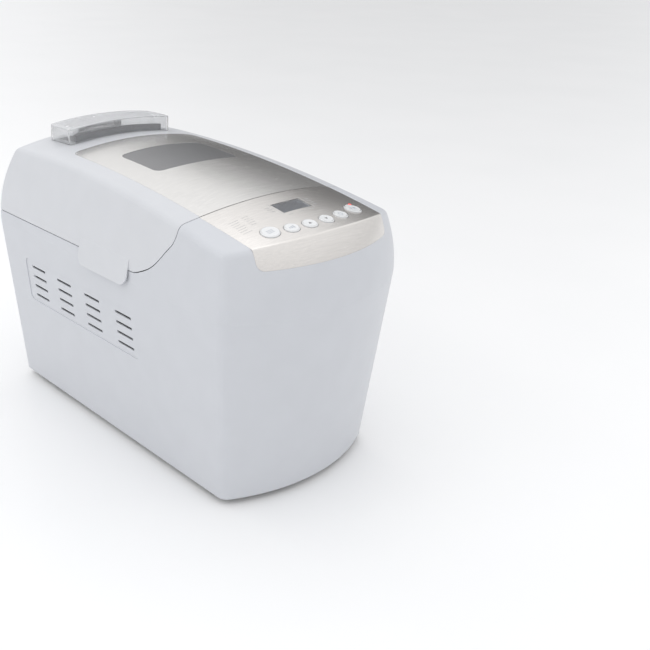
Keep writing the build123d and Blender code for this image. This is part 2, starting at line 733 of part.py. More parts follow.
def belt(y0, r0, y1, r1, z):
    """Flat belt round two wheels whose axes lie on the Y axis."""
    span = y1 - y0
    tilt = math.asin((r1 - r0) / span)

    def loop(offset):
        a, b = r0 + offset, r1 + offset
        ca, sa = math.cos(tilt), math.sin(tilt)
        with BuildSketch(Plane.XY.offset(z)) as outline:
            with BuildLine():
                ThreePointArc((a * ca, y0 - a * sa), (0, y0 - a), (-a * ca, y0 - a * sa))
                Line((-a * ca, y0 - a * sa), (-b * ca, y1 - b * sa))
                ThreePointArc((-b * ca, y1 - b * sa), (0, y1 + b), (b * ca, y1 - b * sa))
                Line((b * ca, y1 - b * sa), (a * ca, y0 - a * sa))
            make_face()
        return outline.sketch

    with BuildPart() as band:
        add(loop(BELT_THICK + 0.08))
        extrude(amount=BELT_HIGH)
        add(loop(0.08))
        extrude(amount=BELT_HIGH, mode=Mode.SUBTRACT)
    return band.part


with BuildPart() as drive_frame:
    with BuildSketch(Plane.XY.offset(FRAME_Z)):
        with Locations((0, OVEN_Y)):
            RectangleRounded(124, 228, 12)
        with Locations((0, OVEN_Y)):
            with GridLocations(70, 56, 1, 2):
                RectangleRounded(70, 30, 8, mode=Mode.SUBTRACT)
    extrude(amount=FRAME_T)
    for y in SHAFTS_Y:
        add(rod(0, y, FRAME_Z - 1, OVEN_FLOOR - 0.3, 24))
    for x, y in FRAME_LEGS:
        add(rod(x, y, FLOOR_TOP + 0.1, OVEN_FLOOR - 0.1, 11))
    for y in SHAFTS_Y:
        add(rod(0, y, 20, 50, BUSH_D + 0.1), mode=Mode.SUBTRACT)
    for x, y in FRAME_LEGS:
        add(rod(x, y, FLOOR_TOP, 26, 3.7), mode=Mode.SUBTRACT)

with BuildPart() as shaft_bushes:
    for y in SHAFTS_Y:
        add(rod(0, y, FRAME_Z, OVEN_FLOOR - 0.3, BUSH_D))
        add(rod(0, y, FRAME_Z - 2, OVEN_FLOOR + 2, SHAFT_D + 2 * RUN), mode=Mode.SUBTRACT)

SHAFT_LOW = [12.0, 22.0]
drive_shafts = []
drive_dogs = []
for y, low in zip(SHAFTS_Y, SHAFT_LOW):
    drive_shafts.append(rod(0, y, low, DOG_Z - 0.1, SHAFT_D))
    with BuildPart() as dog:
        add(rod(0, y, OVEN_FLOOR + 2, DOG_Z, 20))
        add(block(-10, 10, y - 2.6, y + 2.6, DOG_Z - 1, DOG_Z + DOG_HIGH))
        add(rod(0, y, OVEN_FLOOR, DOG_Z - 0.05, SHAFT_D + 0.1), mode=Mode.SUBTRACT)
    drive_dogs.append(dog.part)

large_pulley = pulley(SHAFTS_Y[0], PULLEY_Z, PULLEY_D, 7.0, SHAFT_D + 0.1)
sync_pulleys = [pulley(y, SYNC_Z, SYNC_D, 7.0, SHAFT_D + 0.1) for y in SHAFTS_Y]
motor_pulley = pulley(MOTOR_Y, PULLEY_Z, MOTOR_PULLEY_D, 7.0, 6.1)
motor_belt = belt(MOTOR_Y, MOTOR_PULLEY_D / 2, SHAFTS_Y[0], PULLEY_D / 2, PULLEY_Z + 0.5)
sync_belt = belt(SHAFTS_Y[0], SYNC_D / 2, SHAFTS_Y[1], SYNC_D / 2, SYNC_Z + 0.5)
motor_shaft = rod(0, MOTOR_Y, 12.0, 60.0, 6.0)

with BuildPart() as motor:
    add(rod(0, MOTOR_Y, MOTOR_Z + 6, MOTOR_TOP - 6, MOTOR_D))
    add(rod(0, MOTOR_Y, MOTOR_Z, MOTOR_Z + 6, MOTOR_D - 6))
    add(rod(0, MOTOR_Y, MOTOR_TOP - 6, MOTOR_TOP, MOTOR_D - 6))
    add(block(-27, 27, MOTOR_Y - 27, MOTOR_Y + 27, MOTOR_Z + 20, MOTOR_TOP - 20, 6))
    add(rod(0, MOTOR_Y, 30, 61, 6 + 2 * RUN), mode=Mode.SUBTRACT)

with BuildPart() as motor_bracket:
    add(block(-42, 42, MOTOR_Y - 34, MOTOR_Y + 34, MOTOR_Z - 3.1, MOTOR_Z - 0.1, 8))
    for x in (-35, 35):
        for y in (MOTOR_Y - 27, MOTOR_Y + 27):
            add(rod(x, y, FLOOR_TOP + 0.1, MOTOR_Z - 1, 9))
    add(rod(0, MOTOR_Y, 30, 40, 14), mode=Mode.SUBTRACT)

# ---- bread pan with its own shafts, bail and kneading paddles ----
PAN_SHAFT_D = 8.0
BAIL_D = 4.0
BAIL_Z, BAIL_Y = 221.0, 120.2
BAIL_REACH = 66.0
BAIL_NECK = 1.0          # the grip of the bail lies this much nearer the pan
RIM_R = 26.0
PADDLE_Z = PAN_FLOOR + PAN_WALL


def pan_section(z, grow):
    """Pan outline at height z; the walls flare towards the rim."""
    share = (z - PAN_FLOOR) / (PAN_RIM - PAN_FLOOR)
    with BuildSketch(Plane.XY.offset(z)) as outline:
        with Locations((0, OVEN_Y)):
            RectangleRounded(
                PAN_WIDE - 14 * (1 - share) + 2 * grow,
                PAN_LONG - 16 * (1 - share) + 2 * grow,
                RIM_R - 5 * (1 - share) + grow,
            )
    return outline.sketch


with BuildPart() as pan_hollow:
    add(pan_section(PAN_FLOOR + PAN_WALL, -PAN_WALL))
    add(pan_section(PAN_RIM + 5, -PAN_WALL))
    loft(ruled=True)
    fillet(pan_hollow.faces().sort_by(Axis.Z)[0].edges(), 6 - PAN_WALL)

with BuildPart() as bread_pan:
    add(pan_section(PAN_FLOOR, 0))
    add(pan_section(PAN_RIM, 0))
    loft(ruled=True)
    fillet(bread_pan.faces().sort_by(Axis.Z)[0].edges(), 6)
    add(pan_section(PAN_RIM - 1.6, 2.6))
    extrude(amount=3.2)
    add(pan_hollow.part, mode=Mode.SUBTRACT)
    for y in SHAFTS_Y:
        add(rod(0, y, 80, 92, 14.1), mode=Mode.SUBTRACT)

with BuildPart() as pan_base:
    add(block(-30, 30, OVEN_Y - 84, OVEN_Y + 84, SEAT_Z, PAN_FLOOR - 0.1, 14))
    add(block(-27, 27, OVEN_Y - 81, OVEN_Y + 81, SEAT_Z - 1, PAN_FLOOR - 3.5, 11), mode=Mode.SUBTRACT)
    for y in SHAFTS_Y:
        add(rod(0, y, PAN_FLOOR - 18, PAN_FLOOR - 0.1, 22))
        add(rod(0, y, 60, 90, 14.1), mode=Mode.SUBTRACT)
    with BuildSketch(Plane.YZ.offset(-40)):
        with Locations((OVEN_Y, SEAT_Z + 15)):
            with GridLocations(34, 1, 4, 1):
                SlotOverall(20, 5)
    extrude(amount=80, mode=Mode.SUBTRACT)

with BuildPart() as pan_seats:
    for side in (-1, 1):
        a, b = OVEN_Y + side * 70, OVEN_Y + side * 88
        add(block(-24, 24, min(a, b), max(a, b), OVEN_FLOOR + OVEN_SHEET + 0.1, SEAT_Z - 0.1))
        a = OVEN_Y + side * 85
        add(block(-24, 24, min(a, b), max(a, b), OVEN_FLOOR + OVEN_SHEET + 0.1, SEAT_Z + 12))

with BuildPart() as pan_seals:
    for y in SHAFTS_Y:
        add(rod(0, y, PAN_FLOOR - 18, PAN_FLOOR + 2.0, 14))
        add(rod(0, y, 50, 100, PAN_SHAFT_D + 2 * RUN), mode=Mode.SUBTRACT)

pan_shafts = []
paddles = []
for y in SHAFTS_Y:
    with BuildPart() as pan_shaft:
        add(rod(0, y, PAN_FLOOR - 21, PAN_FLOOR + 26, PAN_SHAFT_D))
        add(rod(0, y, PAN_FLOOR - 23, PAN_FLOOR - 18.2, 26))
        for side in (-1, 1):
            near, far = y + side * 3.4, y + side * 9
            add(block(-5, 5, min(near, far), max(near, far), DOG_Z + 0.8, PAN_FLOOR - 20))
        add(block(-6, 6, y + 3.0, y + 6, PAN_FLOOR + 6, PAN_FLOOR + 30), mode=Mode.SUBTRACT)
    pan_shafts.append(pan_shaft.part)
    with BuildPart() as paddle:
        add(rod(0, y, PADDLE_Z + 1.2, PADDLE_Z + 26, 17))
        with BuildSketch(Plane.XZ.offset(-y - 2)):
            with BuildLine():
                Polyline(
                    (5, PADDLE_Z + 1.4),
                    (38, PADDLE_Z + 1.4),
                    (41, PADDLE_Z + 8),
                    (37, PADDLE_Z + 22),
                    (27, PADDLE_Z + 27),
                    (5, PADDLE_Z + 21),
                    close=True,
                )
            make_face()
        extrude(amount=4)
        add(rod(0, y, 60, PAN_FLOOR + 26.1, PAN_SHAFT_D + 0.1), mode=Mode.SUBTRACT)
    paddles.append(paddle.part)

with BuildPart() as bail_ears:
    for side in (-1, 1):
        near, far = OVEN_Y + side * (PAN_LONG / 2 + 0.05), OVEN_Y + side * (PAN_LONG / 2 + 2.6)
        add(block(-9, 9, min(near, far), max(near, far), BAIL_Z - 11, BAIL_Z + 4))
        with Locations(Pos(0, OVEN_Y, BAIL_Z) * Rot(90, 0, 0)):
            Cylinder(BAIL_D / 2 + RUN, 300, mode=Mode.SUBTRACT)

with BuildPart() as bail:
    end, low = PAN_LONG / 2 + 0.2, BAIL_Y
    half_path = [(0, end), (0, low), (46, low), (BAIL_REACH, 104), (BAIL_REACH, 52)]
    half_path.append((BAIL_REACH - BAIL_NECK, 46))
    full_path = half_path + [(u, -v) for u, v in reversed(half_path)]
    with BuildLine():
        FilletPolyline(*[(u, OVEN_Y + v, BAIL_Z) for u, v in full_path], radius=3)
    with BuildSketch(Plane(origin=(0, OVEN_Y + end, BAIL_Z), z_dir=(0, 1, 0))):
        Circle(BAIL_D / 2)
    sweep()

# ---- controls and electronics ----
SWITCH_HIGH = 5.0
SWITCH_GAP = 1.2
LCD_SINK = 0.6


def drop_to_board(plane):
    """Distance from a plane's origin along its inward normal to the control board."""
    gap = (plane.origin - BOARD_PLANE.origin).dot(BOARD_PLANE.z_dir)
    return gap / plane.z_dir.dot(BOARD_PLANE.z_dir)


button_caps = []
for x, y, size in BUTTONS:
    stem_end = drop_to_board(top_plane(x, y)) - SWITCH_HIGH - SWITCH_GAP
    with BuildPart() as cap:
        with BuildSketch(top_plane(x, y, 3.4)):
            Circle(size / 2)
        extrude(amount=3.4 + BUTTON_PROUD - 0.5)
        with BuildSketch(top_plane(x, y, 0.5 - BUTTON_PROUD)):
            Circle(size / 2)
        extrude(amount=0.5, taper=45)
        with BuildSketch(top_plane(x, y, stem_end)):
            Circle(2.2)
        extrude(amount=stem_end - 2)
    button_caps.append(cap.part)

with BuildPart() as key_switches:
    for x, y, size in BUTTONS:
        face = top_plane(x, y)
        foot = face.origin - face.z_dir * drop_to_board(face)
        on_board = Plane(origin=foot, x_dir=(1, 0, 0), z_dir=BOARD_PLANE.z_dir)
        with BuildSketch(on_board.offset(0.05)):
            Rectangle(6, 6)
        extrude(amount=SWITCH_HIGH - 1.6)
        with BuildSketch(on_board.offset(3)):
            Circle(1.7)
        extrude(amount=SWITCH_HIGH - 3.05)

with BuildPart() as control_board:
    with BuildSketch(BOARD_PLANE):
        RectangleRounded(BOARD_LONG, BOARD_HIGH, 2)
        with GridLocations(BOARD_LONG - 10, BOARD_HIGH - 10, 2, 2):
            Circle(1.6, mode=Mode.SUBTRACT)
    extrude(amount=-BOARD_T)

with BuildPart() as board_standoffs:
    for u, v in BOARD_POSTS:
        with Locations(BOARD_PLANE * Pos(u, v, 0.05)):
            Cylinder(3.2, 14, align=(Align.CENTER, Align.CENTER, Align.MIN))
    add(crown_body(WALL + 0.05), mode=Mode.INTERSECT)
    for u, v in BOARD_POSTS:
        with Locations(BOARD_PLANE * Pos(u, v, -BOARD_T / 2)):
            Cylinder(1.5, 4)

with BuildPart() as lcd_window:
    with BuildSketch(top_plane(0, LCD_Y, LCD_SINK + 1.6)):
        Rectangle(LCD_LONG - 0.2, LCD_HIGH - 0.2)
    extrude(amount=1.6)

with BuildPart() as lcd_module:
    with BuildSketch(top_plane(0, LCD_Y, 9.5)):
        Rectangle(LCD_LONG + 8, LCD_HIGH + 7)
    extrude(amount=5.6)
    with BuildSketch(top_plane(0, LCD_Y, 4)):
        Rectangle(LCD_LONG - 1.5, LCD_HIGH - 1.5)
    extrude(amount=4 - LCD_SINK - 1.7)

with BuildPart() as power_led:
    with BuildSketch(top_plane(LED_X, LED_Y, drop_to_board(top_plane(LED_X, LED_Y)) - 0.3)):
        Circle(1.5)
    extrude(amount=drop_to_board(top_plane(LED_X, LED_Y)) - 0.3)

with BuildPart() as buzzer:
    with Locations(BOARD_PLANE * Pos(40, 8, -BOARD_T - 3.6)):
        Cylinder(6, 7)

with BuildPart() as power_board:
    add(block(BOARD_X, BOARD_X + 1.6, -184, -110, 122, 194))
    face = BOARD_X - 0.05
    add(block(face - 30, face, -178, -142, 128, 164))
    add(block(face - 16, face, -136, -116, 128, 158))
    for y in (-172, -156, -140):
        with Locations(Pos(face - 10, y, 180) * Rot(0, 90, 0)):
            Cylinder(6, 20)
    add(block(face - 22, face, -128, -114, 166, 190))

# ---- assembly parts, one file for each ----
pieces = {
    "lower_housing": lower_housing.part,
    "base_plate": base_plate.part,
    "rubber_feet": feet.part,
    "base_screws": base_screws.part,
    "cord_gland": cord_gland.part,
    "upper_bezel": upper_bezel.part,
    "control_fascia": control_fascia.part,
    "hinge_pins": hinge_pins.part,
    "lid_shell": lid_shell.part,
    "lid_panel": lid_panel.part,
    "window_glass": window_glass.part,
    "inner_window": inner_window.part,
    "lid_liner": lid_liner.part,
    "lid_gasket": lid_gasket.part,
    "vent_cover": vent_cover.part,
    "cover_pin": cover_pin.part,
    "oven_cavity": oven_cavity.part,
    "heating_element": heating_element.part,
    "heater_clips": heater_clips.part,
    "temperature_probe": temperature_probe.part,
    "heat_shield": heat_shield.part,
    "pan_seats": pan_seats.part,
    "drive_frame": drive_frame.part,
    "shaft_bushes": shaft_bushes.part,
    "large_pulley": large_pulley,
    "motor_pulley": motor_pulley,
    "motor_belt": motor_belt,
    "sync_belt": sync_belt,
    "motor_shaft": motor_shaft,
    "motor": motor.part,
    "motor_bracket": motor_bracket.part,
    "bread_pan": bread_pan.part,
    "pan_base": pan_base.part,
    "pan_seals": pan_seals.part,
    "bail_ears": bail_ears.part,
    "bail": bail.part,
    "key_switches": key_switches.part,
    "control_board": control_board.part,
    "board_standoffs": board_standoffs.part,
    "lcd_window": lcd_window.part,
    "lcd_module": lcd_module.part,
    "power_led": power_led.part,
    "buzzer": buzzer.part,
    "power_board": power_board.part,
}
for place, index in (("front", 0), ("rear", 1)):
    pieces[f"drive_shaft_{place}"] = drive_shafts[index]
    pieces[f"drive_dog_{place}"] = drive_dogs[index]
    pieces[f"sync_pulley_{place}"] = sync_pulleys[index]
    pieces[f"pan_shaft_{place}"] = pan_shafts[index]
    pieces[f"paddle_{place}"] = paddles[index]
for number, cap in enumerate(button_caps, start=1):
    pieces[f"button_{number}"] = cap

for name, shape in pieces.items():
    shape.label = name
    export_step(shape, f"parts/{name}.step")
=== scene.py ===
import math

import bmesh
import bpy
from mathutils import Matrix, Vector
from mathutils.bvhtree import BVHTree


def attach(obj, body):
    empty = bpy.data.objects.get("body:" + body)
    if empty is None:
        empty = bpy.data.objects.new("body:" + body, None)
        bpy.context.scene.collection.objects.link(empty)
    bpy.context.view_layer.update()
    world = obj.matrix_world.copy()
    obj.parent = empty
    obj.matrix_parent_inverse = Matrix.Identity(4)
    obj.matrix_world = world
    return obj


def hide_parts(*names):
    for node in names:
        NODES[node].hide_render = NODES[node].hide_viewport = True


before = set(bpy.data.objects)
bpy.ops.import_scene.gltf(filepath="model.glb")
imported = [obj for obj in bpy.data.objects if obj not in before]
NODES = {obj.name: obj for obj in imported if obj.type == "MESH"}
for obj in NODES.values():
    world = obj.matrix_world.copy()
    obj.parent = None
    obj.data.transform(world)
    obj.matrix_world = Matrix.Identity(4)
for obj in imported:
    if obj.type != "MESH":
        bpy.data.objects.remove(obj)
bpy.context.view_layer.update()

MM = 0.001


# ---- materials -----------------------------------------------------------------------------


def new_material(name):
    mat = bpy.data.materials.new(name)
    mat.use_nodes = True
    tree = mat.node_tree
    shader = next(n for n in tree.nodes if n.type == "BSDF_PRINCIPLED")
    coords = tree.nodes.new("ShaderNodeTexCoord")
    return mat, tree, shader, coords.outputs["Object"]


def noise(tree, vector, scale, detail=3.0, stretch=None, rough=0.5):
    if stretch:
        mapping = tree.nodes.new("ShaderNodeMapping")
        mapping.inputs["Scale"].default_value = stretch
        tree.links.new(vector, mapping.inputs["Vector"])
        vector = mapping.outputs["Vector"]
    node = tree.nodes.new("ShaderNodeTexNoise")
    node.inputs["Scale"].default_value = scale
    node.inputs["Detail"].default_value = detail
    node.inputs["Roughness"].default_value = rough
    tree.links.new(vector, node.inputs["Vector"])
    return node.outputs["Fac"]


def spread(tree, fac, low, high, socket, start=0.3, end=0.7):
    node = tree.nodes.new("ShaderNodeMapRange")
    node.inputs["From Min"].default_value = start
    node.inputs["From Max"].default_value = end
    node.inputs["To Min"].default_value = low
    node.inputs["To Max"].default_value = high
    tree.links.new(fac, node.inputs["Value"])
    tree.links.new(node.outputs["Result"], socket)


def tint(tree, fac, dark, light, socket, start=0.3, end=0.7):
    ramp = tree.nodes.new("ShaderNodeValToRGB")
    ramp.color_ramp.elements[0].position = start
    ramp.color_ramp.elements[0].color = (*dark, 1)
    ramp.color_ramp.elements[1].position = end
    ramp.color_ramp.elements[1].color = (*light, 1)
    tree.links.new(fac, ramp.inputs["Fac"])
    tree.links.new(ramp.outputs["Color"], socket)


def relief(tree, fac, shader, depth, strength=1.0):
    bump = tree.nodes.new("ShaderNodeBump")
    bump.inputs["Strength"].default_value = strength
    bump.inputs["Distance"].default_value = depth
    tree.links.new(fac, bump.inputs["Height"])
    tree.links.new(bump.outputs["Normal"], shader.inputs["Normal"])


def shade(colour, k):
    return tuple(min(1.0, c * k) for c in colour)


def plastic(name, colour, rough=0.42, grain=1400.0, depth=0.00002, vary=0.02, coat=0.0):
    """Moulded plastic: a fine spark-eroded grain and a slight cloud in colour and gloss."""
    mat, tree, shader, vector = new_material(name)
    cloud = noise(tree, vector, 35.0, 2.0)
    tint(tree, cloud, shade(colour, 1 - vary), shade(colour, 1 + vary / 2), shader.inputs["Base Color"])
    fine = noise(tree, vector, grain, 2.0)
    spread(tree, fine, rough - 0.05, rough + 0.05, shader.inputs["Roughness"])
    relief(tree, fine, shader, depth)
    shader.inputs["Coat Weight"].default_value = coat
    shader.inputs["Coat Roughness"].default_value = 0.12
    return mat


def metal(name, colour, rough=0.3, stretch=(1, 1, 1), scale=400.0, depth=0.00001,
          vary=0.06, spread_by=0.07, aniso=0.0, blotch=0.0):
    """Metal whose finish follows the stretch of its noise: drawn, brushed, cast or rolled."""
    mat, tree, shader, vector = new_material(name)
    shader.inputs["Metallic"].default_value = 1.0
    shader.inputs["Anisotropic"].default_value = aniso
    lines = noise(tree, vector, scale, 4.0, stretch, 0.6)
    spread(tree, lines, rough - spread_by, rough + spread_by, shader.inputs["Roughness"])
    relief(tree, lines, shader, depth)
    cloud = noise(tree, vector, 18.0 if blotch else scale / 2, 3.0, None if blotch else stretch)
    tint(tree, cloud, shade(colour, 1 - vary - blotch), shade(colour, 1 + vary), shader.inputs["Base Color"])
    return mat


def coated(name, colour, rough=0.5, scale=700.0, depth=0.00004, vary=0.12, metallic=0.0, speckle=False):
    """A baked or oxidised coating with an orange-peel surface."""
    mat, tree, shader, vector = new_material(name)
    shader.inputs["Metallic"].default_value = metallic
    peel = noise(tree, vector, scale, 3.0)
    relief(tree, peel, shader, depth)
    spread(tree, peel, rough - 0.08, rough + 0.08, shader.inputs["Roughness"])
    cells = noise(tree, vector, 2600.0, 1.0) if speckle else noise(tree, vector, 60.0, 4.0)
    tint(tree, cells, shade(colour, 1 - vary), shade(colour, 1 + vary), shader.inputs["Base Color"])
    return mat


def clear(name, colour, rough=0.03, ior=1.5, weight=1.0, smear=0.02, depth=0.000004):
    """Glass or clear plastic with slight handling marks."""
    mat, tree, shader, vector = new_material(name)
    shader.inputs["Transmission Weight"].default_value = weight
    shader.inputs["IOR"].default_value = ior
    haze = noise(tree, vector, 40.0, 4.0)
    tint(tree, haze, shade(colour, 0.97), colour, shader.inputs["Base Color"])
    spread(tree, haze, rough, rough + smear, shader.inputs["Roughness"])
    relief(tree, noise(tree, vector, 120.0, 1.0), shader, depth)
    return mat


SHELL_WHITE = (0.625, 0.640, 0.675)
LID_WHITE = (0.655, 0.667, 0.695)
BRUSH = {"rough": 0.25, "stretch": (5, 170, 170), "scale": 8.0, "depth": 0.0000012,
         "vary": 0.03, "spread_by": 0.025, "aniso": 0.3}
SHEET = {"depth": 0.000012, "vary": 0.05, "aniso": 0.1, "blotch": 0.055}
NONSTICK = {"depth": 0.00003, "vary": 0.25, "metallic": 0.2, "speckle": True}
INK = {"rough": 0.6, "scale": 900.0, "depth": 0.000005, "vary": 0.1}

MATS = {
    "shell": plastic("shell_white", SHELL_WHITE, 0.40, 1500.0, 0.000015, 0.015, 0.08),
    "lid_white": plastic("lid_white", LID_WHITE, 0.36, 1500.0, 0.000012, 0.015, 0.12),
    "dark_plastic": plastic("dark_plastic", (0.055, 0.057, 0.06), 0.5, 900.0, 0.00004, 0.1),
    # A dark blue-grey for the well's slotted floor; the same colour paints the shade on the strip in front
    # of the well.
    "well_dark_and_painted_shade": plastic("well_dark_and_painted_shade", (0.06, 0.066, 0.085), 0.5, 900.0, 0.00003, 0.1),
    "tan_plastic": plastic("bearing_plastic", (0.42, 0.37, 0.27), 0.5, 700.0, 0.00003, 0.08),
    "key_white": plastic("key_white", (0.80, 0.81, 0.82), 0.28, 1600.0, 0.000006, 0.01, 0.4),
    "brushed": metal("brushed_panel", (0.80, 0.785, 0.765), **BRUSH),
    # The fascia's steel has a beige tint of its own. It is also set a little darker than the lid panel's,
    # and that darkening is painted shade.
    "fascia": metal("fascia_beige_and_painted_shade", (0.79, 0.762, 0.735), **BRUSH),
    "trim": metal("bright_trim", (0.80, 0.80, 0.80), 0.14, scale=600.0, depth=0.000002,
                  vary=0.03, spread_by=0.03),
    "oven_steel": metal("oven_steel", (0.56, 0.565, 0.57), 0.36, (1, 1, 6), 120.0, **SHEET),
    "liner_steel": metal("liner_steel", (0.62, 0.625, 0.63), 0.34, (5, 1, 1), 110.0, **SHEET),
    "zinc": metal("zinc_plate", (0.60, 0.60, 0.585), 0.38, scale=160.0, depth=0.00002,
                  vary=0.1, spread_by=0.08, blotch=0.1),
    "drawn": metal("drawn_steel", (0.70, 0.70, 0.70), 0.2, (300, 300, 4), 5.0, 0.000004,
                   vary=0.05, spread_by=0.05),
    "wire": metal("bright_wire", (0.74, 0.74, 0.74), 0.17, scale=500.0, depth=0.000004,
                  vary=0.05, spread_by=0.05),
    "pan_out": metal("pan_satin", (0.70, 0.705, 0.71), 0.34, (1, 1, 14), 70.0, 0.00001,
                     vary=0.05, spread_by=0.06, aniso=0.2, blotch=0.03),
    "cast": metal("die_cast", (0.52, 0.52, 0.515), 0.5, scale=420.0, depth=0.00012,
                  vary=0.12, spread_by=0.1, blotch=0.1),
    "pan_in": coated("nonstick_grey", (0.085, 0.086, 0.09), 0.45, 900.0, **NONSTICK),
    "paddle": coated("nonstick_dark", (0.035, 0.035, 0.037), 0.4, 800.0, **NONSTICK),
    "heater": coated("heater_oxide", (0.075, 0.072, 0.07), 0.55, 300.0, 0.00003, 0.25, 0.7),
    "motor": coated("motor_can", (0.30, 0.305, 0.31), 0.4, 300.0, 0.00002, 0.08, 0.8),
    "rubber": coated("black_rubber", (0.022, 0.022, 0.023), 0.75, 500.0, 0.00006, 0.2),
    "gap": coated("gap_shadow", (0.008, 0.008, 0.009), 0.85, 300.0, 0.00002, 0.1),
    "silicone": coated("grey_silicone", (0.33, 0.335, 0.34), 0.6, 500.0, 0.00003, 0.06),
    "board": coated("solder_mask", (0.012, 0.10, 0.045), 0.3, 200.0, 0.000015, 0.2),
    "display": coated("display_glass", (0.07, 0.082, 0.105), 0.22, 60.0, 0.000001, 0.06),
    "ink": coated("print_ink", (0.17, 0.17, 0.175), **INK),
    "mark_ink": coated("mark_ink", (0.36, 0.39, 0.45), **INK),
    "pale_ink": coated("pale_ink", (0.42, 0.42, 0.42), **INK),
    "segment": coated("display_segment", (0.012, 0.014, 0.02), **INK),
    "smoked": clear("smoked_glass", (0.36, 0.36, 0.37), 0.06, 1.5, 0.55, 0.03),
    "pane": clear("clear_pane", (0.80, 0.82, 0.82), 0.02, 1.5, 0.95),
    "cover": clear("clear_cover", (0.96, 0.965, 0.975), 0.03, 1.49, 0.86, 0.03, 0.000006),
    "cover_top": clear("frosted_cover", (0.90, 0.905, 0.925), 0.22, 1.49, 0.42, 0.06, 0.00001),
    "lens": clear("display_lens", (0.92, 0.93, 0.95), 0.02, 1.49, 1.0, 0.01),
    "led": clear("red_lens", (0.85, 0.05, 0.03), 0.18, 1.49, 0.35, 0.05),
}

LED_GLOW, LED_RED = 1.2, (1.0, 0.04, 0.02, 1)
led_shader = MATS["led"].node_tree.nodes["Principled BSDF"]
led_shader.inputs["Emission Color"].default_value = LED_RED
led_shader.inputs["Emission Strength"].default_value = LED_GLOW

FINISH = {
    "shell": ["lower_housing", "upper_bezel"],
    "lid_white": ["lid_shell"],
    "fascia": ["control_fascia"],
    "brushed": ["lid_panel"],
    "smoked": ["window_glass"],
    "pane": ["inner_window"],
    "liner_steel": ["lid_liner"],
    "silicone": ["lid_gasket", "pan_seals"],
    "cover": ["vent_cover"],
    "drawn": ["cover_pin", "hinge_pins", "motor_shaft", "drive_shaft_front", "drive_shaft_rear",
              "pan_shaft_front", "pan_shaft_rear"],
    "oven_steel": ["oven_cavity", "temperature_probe"],
    "heater": ["heating_element"],
    "zinc": ["base_plate", "base_screws", "heater_clips", "heat_shield", "pan_seats",
             "motor_bracket", "board_standoffs"],
    "cast": ["drive_frame", "pan_base", "drive_dog_front", "drive_dog_rear", "motor_pulley"],
    "tan_plastic": ["shaft_bushes"],
    "dark_plastic": ["cord_gland", "large_pulley", "sync_pulley_front", "sync_pulley_rear",
                     "key_switches", "buzzer"],
    "rubber": ["rubber_feet", "motor_belt", "sync_belt"],
    "motor": ["motor"],
    "pan_out": ["bread_pan", "bail_ears"],
    "wire": ["bail"],
    "paddle": ["paddle_front", "paddle_rear"],
    "board": ["control_board", "power_board"],
    "lens": ["lcd_window"],
    "display": ["lcd_module"],
    "led": ["power_led"],
    "key_white": [f"button_{i}" for i in range(1, 7)],
}


def dress(obj, *mats):
    obj.data.materials.clear()
    for mat in mats:
        obj.data.materials.append(mat)


for finish, names in FINISH.items():
    for name in names:
        dress(NODES[name], MATS[finish])


def second_finish(node, mat, chosen):
    """Gives the faces that chosen(centre, normal) picks a finish of their own."""
    obj = NODES[node]
    obj.data.materials.append(mat)
    for face in obj.data.polygons:
        if chosen(face.center, face.normal):
            face.material_index = 1


PAN_CORE = (-16 * MM, 96 * MM)
PAN_FLOOR_TOP = 120 * MM


def faces_inward(centre, normal):
    """True on the inner side of the pan's wall and on top of its floor."""
    core = Vector((0, min(max(centre.y, PAN_CORE[0]), PAN_CORE[1]), centre.z))
    wall = normal.xy.length > 0.3 and (core - centre).dot(normal) > 0
    return wall or (normal.z > 0.7 and centre.z < PAN_FLOOR_TOP)


second_finish("bread_pan", MATS["pan_in"], faces_inward)

WELL_HALF, WELL_Y, WELL_FLOOR = 62.5 * MM, (139 * MM, 171.5 * MM), (298 * MM, 300 * MM)


def on_well_floor(centre, normal):
    """True on the slotted floor of the well under the clear cover."""
    inside = abs(centre.x) < WELL_HALF and WELL_Y[0] < centre.y < WELL_Y[1]
    return inside and WELL_FLOOR[0] < centre.z < WELL_FLOOR[1] and normal.z > 0.5


second_finish("lid_shell", MATS["well_dark_and_painted_shade"], on_well_floor)

# The housing's mesh closes one vent slot at its inner face, where the solid is open. The faces
# across that slot are shown as dark as the gap behind the others.
SHUT_SLOT_Y, SHUT_SLOT_Z = (127, 153), (151, 152, 153)
OUTSIDE, WALL_LIMIT = -200 * MM, -100 * MM

housing = NODES["lower_housing"].data
corners = [v.co for v in housing.vertices]
wall = BVHTree.FromPolygons(corners, [list(p.vertices) for p in housing.polygons])
housing.materials.append(MATS["gap"])
for z in SHUT_SLOT_Z:
    for y in range(SHUT_SLOT_Y[0], SHUT_SLOT_Y[1] + 1):
        point, _, index, _ = wall.ray_cast(Vector((OUTSIDE, y * MM, z * MM)), Vector((1, 0, 0)))
        if point is not None and point.x < WALL_LIMIT:
            housing.polygons[index].material_index = 1


# ---- helpers for the pieces ----------------------------------------------------------------


TREES = {}


def surface(node, x, y, from_z=0.4):
    """Point and normal of a node's top surface over x, y."""
    if node not in TREES:
        mesh = NODES[node].data
        corners = [v.co for v in mesh.vertices]
        TREES[node] = BVHTree.FromPolygons(corners, [list(p.vertices) for p in mesh.polygons])
    point, normal = TREES[node].ray_cast(Vector((x, y, from_z)), Vector((0, 0, -1)))[:2]
    if normal is not None and normal.z < 0:
        normal = -normal
    return point, normal


def finish_piece(name, bm, mat, body, smooth=False):
    bmesh.ops.recalc_face_normals(bm, faces=bm.faces)
    mesh = bpy.data.meshes.new(name)
    bm.to_mesh(mesh)
    bm.free()
    obj = bpy.data.objects.new(name, mesh)
    bpy.context.scene.collection.objects.link(obj)
    dress(obj, MATS[mat])
    for face in mesh.polygons:
        face.use_smooth = smooth
    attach(obj, body)
    return obj


